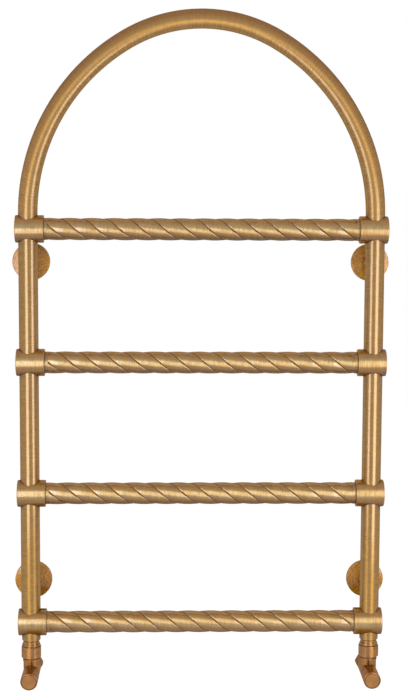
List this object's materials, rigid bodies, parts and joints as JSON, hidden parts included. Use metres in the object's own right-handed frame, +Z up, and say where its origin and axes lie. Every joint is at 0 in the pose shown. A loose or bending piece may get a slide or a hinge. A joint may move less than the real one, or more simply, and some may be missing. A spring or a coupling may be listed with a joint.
{
  "type": "arched towel rail",
  "caption": "Arched wall-hung brass towel rail with rope-twist cross rails between tubular uprights, round wall flanges and an angle valve at each foot.",
  "frame": {"origin": "middle of the four wall fixings, on the wall's face", "axes": "+Z up, +Y into the wall, +X to the right seen from the room"},
  "size_m": [0.633, 0.126, 1.1162],
  "materials": {
    "frame_brass": "brushed antique",
    "rail_brass": "brushed antique",
    "flange_brass": "brushed antique",
    "valve_brass": "brushed antique, slightly coppery",
    "plate_steel": "zinc plated",
    "screw_steel": "plain",
    "seal_rubber": "matte"
  },
  "bodies": {
    "frame": {"arch_tube": "frame_brass", "air_vent_plug": "frame_brass", "twisted_rail_1": "rail_brass", "twisted_rail_2": "rail_brass", "twisted_rail_3": "rail_brass", "twisted_rail_4": "rail_brass", "left_tee_1": "frame_brass", "left_tee_2": "frame_brass", "left_tee_3": "frame_brass", "left_tee_4": "frame_brass", "left_upright_1": "frame_brass", "left_upright_2": "frame_brass", "left_upright_3": "frame_brass", "left_valve_tail": "valve_brass", "left_union_nut": "valve_brass", "left_valve_body": "valve_brass", "left_compression_nut": "valve_brass", "left_olive": "valve_brass", "left_bonnet": "valve_brass", "left_spindle_ring": "seal_rubber", "right_tee_1": "frame_brass", "right_tee_2": "frame_brass", "right_tee_3": "frame_brass", "right_tee_4": "frame_brass", "right_upright_1": "frame_brass", "right_upright_2": "frame_brass", "right_upright_3": "frame_brass", "right_valve_tail": "valve_brass", "right_union_nut": "valve_brass", "right_valve_body": "valve_brass", "right_compression_nut": "valve_brass", "right_olive": "valve_brass", "right_bonnet": "valve_brass", "right_spindle_ring": "seal_rubber", "upper_left_wall_plate": "plate_steel", "upper_left_wall_post": "frame_brass", "upper_left_flange_cover": "flange_brass", "upper_right_wall_plate": "plate_steel", "upper_right_wall_post": "frame_brass", "upper_right_flange_cover": "flange_brass", "lower_left_wall_plate": "plate_steel", "lower_left_wall_post": "frame_brass", "lower_left_flange_cover": "flange_brass", "lower_right_wall_plate": "plate_steel", "lower_right_wall_post": "frame_brass", "lower_right_flange_cover": "flange_brass", "post_grub_screws": "screw_steel"},
    "left_handwheel": {"left_handwheel": "valve_brass", "left_handwheel_screw": "screw_steel", "left_spindle": "valve_brass"},
    "left_jumper": {"left_jumper": "valve_brass", "left_jumper_washer": "seal_rubber"},
    "right_handwheel": {"right_handwheel": "valve_brass", "right_handwheel_screw": "screw_steel", "right_spindle": "valve_brass"},
    "right_jumper": {"right_jumper": "valve_brass", "right_jumper_washer": "seal_rubber"},
    "bleed_screw": {"bleed_screw": "valve_brass"}
  },
  "joints": [
    {"name": "left_handwheel_turn", "type": "hinge", "parent": "frame", "child": "left_handwheel", "pos_m": [-0.285, -0.068, -0.416], "axis": [0, 1, 0], "range_deg": [0, 720]},
    {"name": "left_jumper_slide", "type": "slide", "parent": "frame", "child": "left_jumper", "axis": [0, 1, 0], "range_m": [0, 0.003]},
    {"name": "right_handwheel_turn", "type": "hinge", "parent": "frame", "child": "right_handwheel", "pos_m": [0.285, -0.068, -0.416], "axis": [0, 1, 0], "range_deg": [0, 720]},
    {"name": "right_jumper_slide", "type": "slide", "parent": "frame", "child": "right_jumper", "axis": [0, 1, 0], "range_m": [0, 0.003]},
    {"name": "bleed_screw_turn", "type": "hinge", "parent": "frame", "child": "bleed_screw", "pos_m": [0, -0.052, 0.67], "axis": [0, 1, 0], "range_deg": [0, 360]}
  ],
  "couplings": [
    {"joint": "left_jumper_slide", "follows": "left_handwheel_turn", "m_per_rad": 0.0002387},
    {"joint": "right_jumper_slide", "follows": "right_handwheel_turn", "m_per_rad": 0.0002387}
  ]
}
